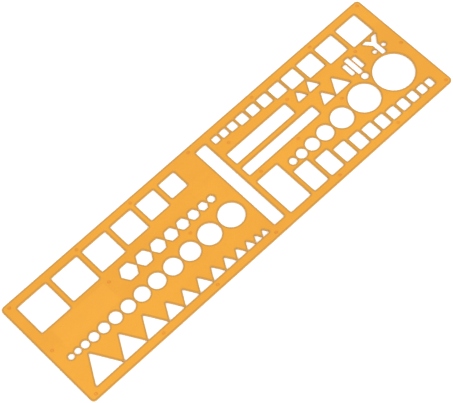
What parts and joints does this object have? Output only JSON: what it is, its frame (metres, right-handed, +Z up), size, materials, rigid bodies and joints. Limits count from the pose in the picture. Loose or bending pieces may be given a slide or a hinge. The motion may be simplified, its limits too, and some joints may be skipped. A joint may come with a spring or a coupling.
{
  "type": "map symbol drawing template",
  "caption": "Flat oblong plastic drawing template with rows of square, round, hexagonal, triangular and oblong cut-outs, raised off the paper by small ink risers.",
  "frame": {"origin": "under the middle of the sheet, on the surface that the ink risers stand on", "axes": "+X along the sheet from the end with the large squares to the end with the large circle, +Y across it towards the edge beside the squares, +Z up out of the top face"},
  "size_m": [0.3, 0.0832, 0.0017],
  "materials": {
    "sheet_plastic": "smooth, slightly see-through orange sheet with a soft gloss",
    "riser_plastic": "the same orange plastic, darker where it is thicker"
  },
  "bodies": {
    "root": {"riser_bottom_edge_1": "riser_plastic", "riser_bottom_edge_2": "riser_plastic", "riser_bottom_edge_3": "riser_plastic", "riser_bottom_edge_4": "riser_plastic", "riser_bottom_edge_5": "riser_plastic", "riser_inner_1": "riser_plastic", "riser_inner_2": "riser_plastic", "riser_inner_3": "riser_plastic", "riser_inner_4": "riser_plastic", "riser_inner_5": "riser_plastic", "riser_inner_6": "riser_plastic", "riser_inner_7": "riser_plastic", "riser_inner_8": "riser_plastic", "riser_left_bottom_corner": "riser_plastic", "riser_left_end": "riser_plastic", "riser_left_top_corner": "riser_plastic", "riser_right_bottom_corner": "riser_plastic", "riser_right_end": "riser_plastic", "riser_right_top_corner": "riser_plastic", "riser_top_edge_1": "riser_plastic", "riser_top_edge_2": "riser_plastic", "riser_top_edge_3": "riser_plastic", "riser_top_edge_4": "riser_plastic", "riser_top_edge_5": "riser_plastic", "template_sheet": "sheet_plastic"}
  },
  "joints": []
}
